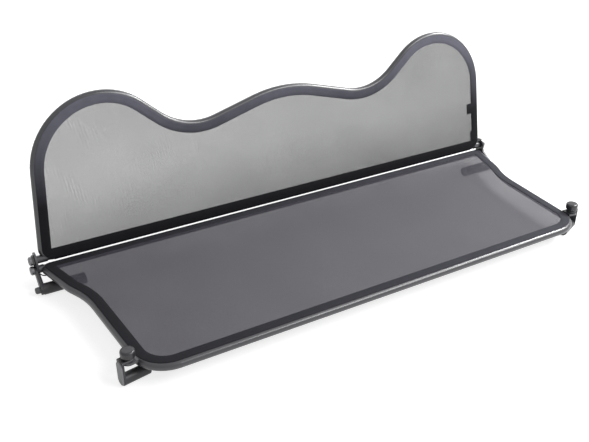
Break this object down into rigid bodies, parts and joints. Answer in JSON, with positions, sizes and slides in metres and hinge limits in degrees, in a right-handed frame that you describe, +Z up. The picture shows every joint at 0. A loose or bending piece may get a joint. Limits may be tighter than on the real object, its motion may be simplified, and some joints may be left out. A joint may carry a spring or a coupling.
{
  "type": "convertible wind deflector",
  "caption": "Folding mesh wind deflector for a convertible: a flat framed panel, a hinged upright screen, sprung side pins and swivelling corner brackets.",
  "frame": {"origin": "middle of the footprint, on the floor that the four corner fittings stand on", "axes": "+X along the fold line to the part's right as seen from the front, +Y to the back where the screen stands, +Z up"},
  "size_m": [1.244, 0.4806, 0.3854],
  "materials": {
    "tube_paint": "satin black powder coat",
    "bracket_paint": "satin black",
    "panel_mesh": "fine open weave, dark grey",
    "screen_mesh": "fine open weave, grey",
    "binding_tape": "matte woven tape",
    "black_steel": "blackened steel",
    "black_plastic": "moulded, fine grain",
    "pin_plastic": "smooth",
    "knob_plastic": "smooth satin",
    "grey_rubber": "matte",
    "spring_steel": "drawn wire"
  },
  "bodies": {
    "panel": {"panel_frame": "tube_paint", "panel_mesh": "panel_mesh", "panel_binding": "binding_tape", "hinge_plate_left": "bracket_paint", "hinge_plate_right": "bracket_paint", "anchor_screw_left": "black_steel", "anchor_screw_right": "black_steel", "pin_housing_left": "black_plastic", "pin_housing_right": "black_plastic", "housing_cap_left": "black_plastic", "housing_cap_right": "black_plastic", "pin_spring_left": "spring_steel", "pin_spring_right": "spring_steel", "clamp_stud_left": "black_steel", "clamp_stud_right": "black_steel"},
    "screen": {"screen_frame": "tube_paint", "screen_mesh": "screen_mesh", "screen_binding": "binding_tape", "screen_edge_tabs": "binding_tape", "hinge_disc_left": "bracket_paint", "hinge_disc_right": "bracket_paint", "pivot_screw_left": "black_steel", "pivot_screw_right": "black_steel"},
    "pin_left": {"locating_pin_left": "pin_plastic"},
    "bracket_left": {"corner_bracket_left": "black_plastic", "pressure_pad_left": "grey_rubber", "clamp_washer_left": "black_steel"},
    "knob_left": {"clamp_knob_left": "knob_plastic"},
    "pin_right": {"locating_pin_right": "pin_plastic"},
    "bracket_right": {"corner_bracket_right": "black_plastic", "pressure_pad_right": "grey_rubber", "clamp_washer_right": "black_steel"},
    "knob_right": {"clamp_knob_right": "knob_plastic"}
  },
  "joints": [
    {"name": "screen_fold", "type": "hinge", "parent": "panel", "child": "screen", "pos_m": [0, 0.19981, 0.0585], "axis": [1, 0, 0], "range_deg": [0, 95.5]},
    {"name": "pin_push_left", "type": "slide", "parent": "panel", "child": "pin_left", "axis": [1, 0, 0], "range_m": [0, 0.014], "stiffness_N_per_m": 500, "springref_m": -0.012, "deforming": ["pin_spring_left"]},
    {"name": "bracket_swing_left", "type": "hinge", "parent": "panel", "child": "bracket_left", "pos_m": [-0.539, -0.18919, 0.0475], "axis": [0, 0, 1], "range_deg": [-70, 50]},
    {"name": "knob_turn_left", "type": "hinge", "parent": "panel", "child": "knob_left", "pos_m": [-0.539, -0.18919, 0.0475], "axis": [0, 0, 1], "range_deg": [0, 360]},
    {"name": "pin_push_right", "type": "slide", "parent": "panel", "child": "pin_right", "axis": [-1, 0, 0], "range_m": [0, 0.014], "stiffness_N_per_m": 500, "springref_m": -0.012, "deforming": ["pin_spring_right"]},
    {"name": "bracket_swing_right", "type": "hinge", "parent": "panel", "child": "bracket_right", "pos_m": [0.539, -0.18919, 0.0475], "axis": [0, 0, 1], "range_deg": [-82, 38]},
    {"name": "knob_turn_right", "type": "hinge", "parent": "panel", "child": "knob_right", "pos_m": [0.539, -0.18919, 0.0475], "axis": [0, 0, 1], "range_deg": [0, 360]}
  ]
}
